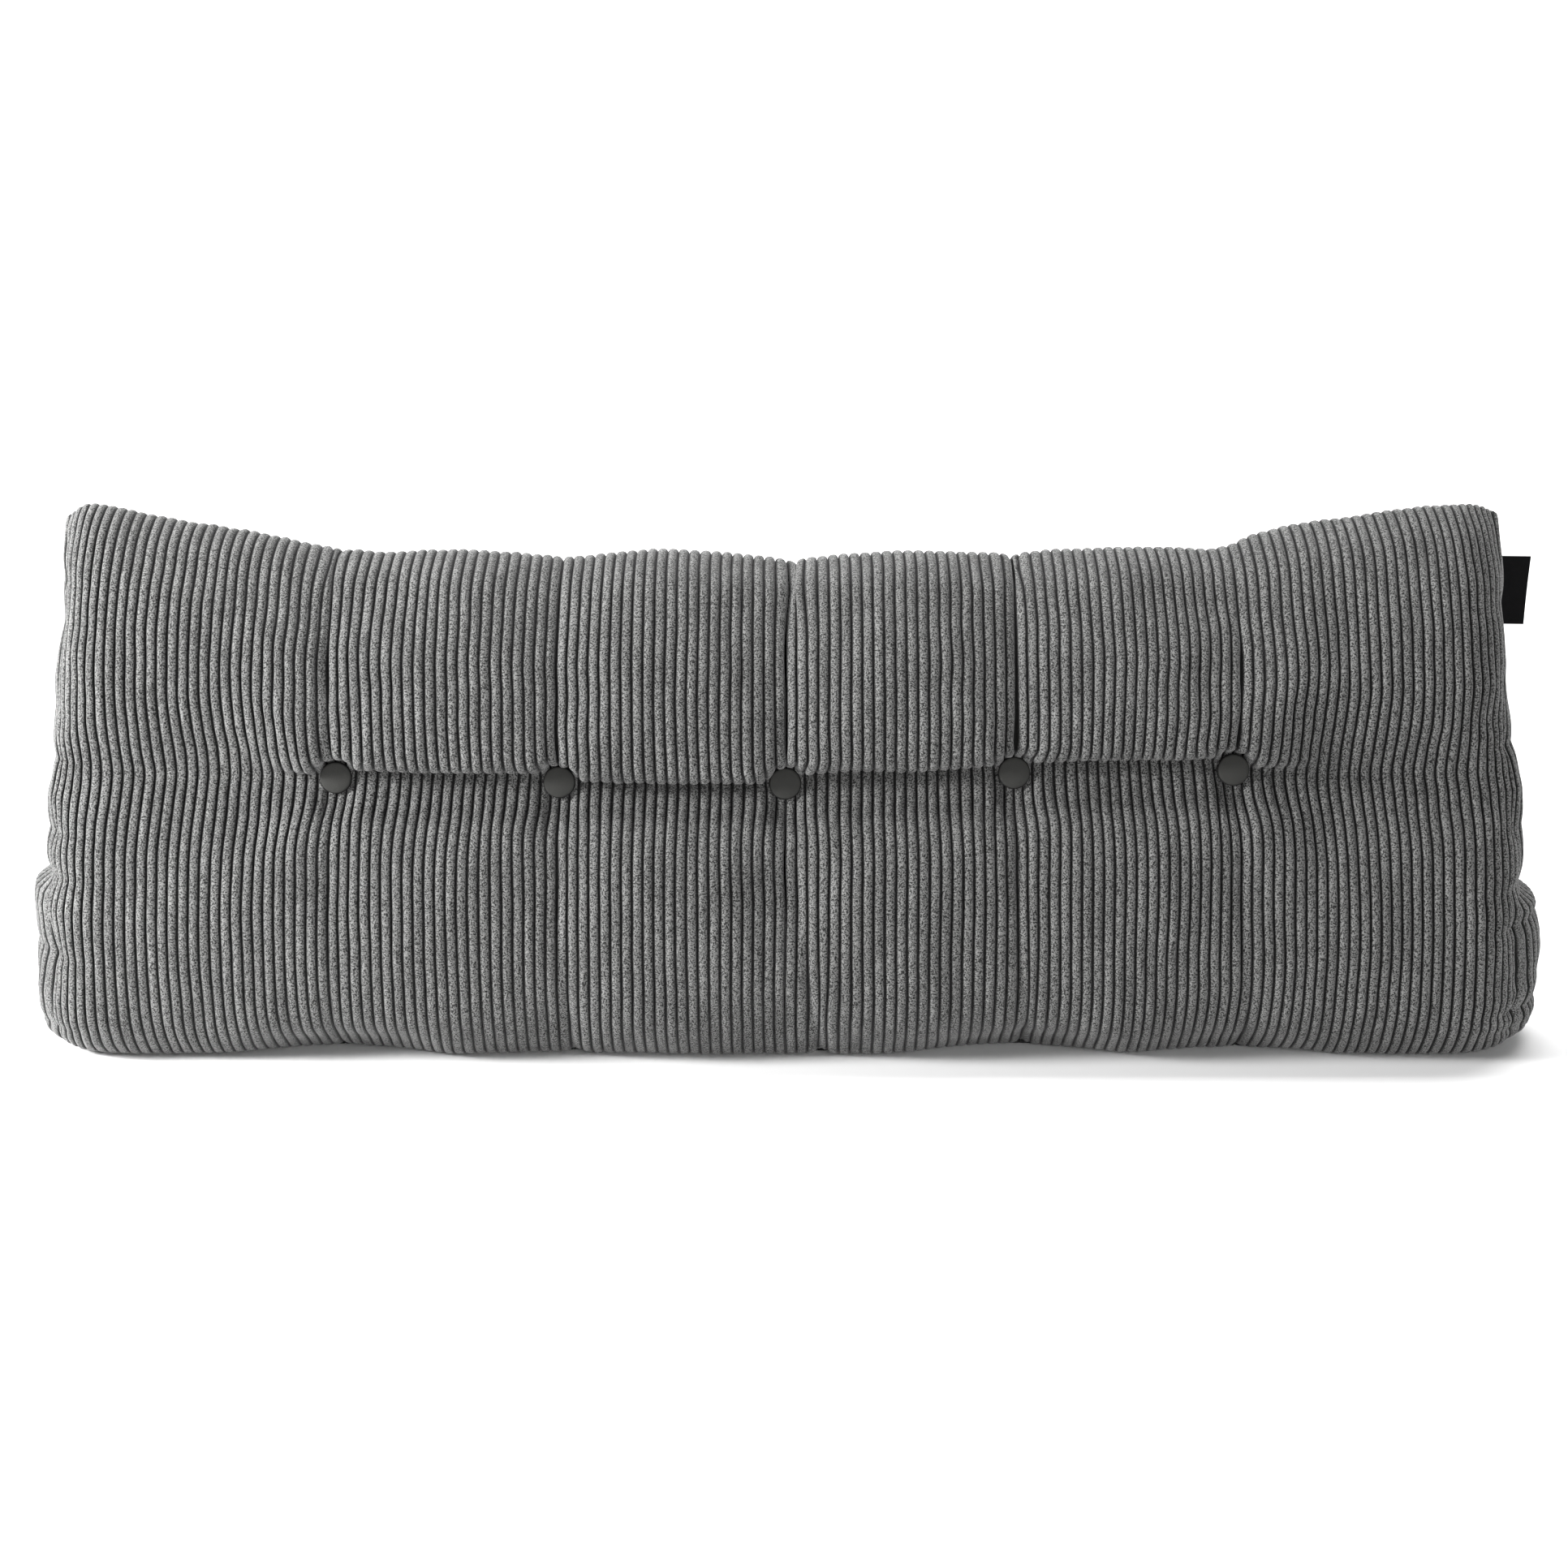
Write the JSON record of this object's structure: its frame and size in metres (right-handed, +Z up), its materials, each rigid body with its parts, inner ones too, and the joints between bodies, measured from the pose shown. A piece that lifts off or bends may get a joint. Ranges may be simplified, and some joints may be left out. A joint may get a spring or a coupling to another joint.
{
  "type": "tufted wedge backrest pillow",
  "caption": "Long wedge-shaped backrest pillow in wide-wale corduroy, button-tufted along the middle, with bulging end panels and a flat base to stand on.",
  "frame": {"origin": "on the floor, under the middle of the pillow's box", "axes": "+X along the pillow, to the right as seen from the front; +Y from the front to the back; +Z up"},
  "size_m": [1.5144, 0.2, 0.5288],
  "materials": {
    "corduroy": "wide-wale pile, matte",
    "button_cloth": "plain smooth cloth, matte",
    "ribbon": "woven satin ribbon"
  },
  "bodies": {
    "root": {"cushion": "corduroy", "end_panel_left": "corduroy", "end_panel_right": "corduroy", "button_1": "button_cloth", "button_2": "button_cloth", "button_3": "button_cloth", "button_4": "button_cloth", "button_5": "button_cloth", "label_tab": "ribbon"}
  },
  "joints": []
}
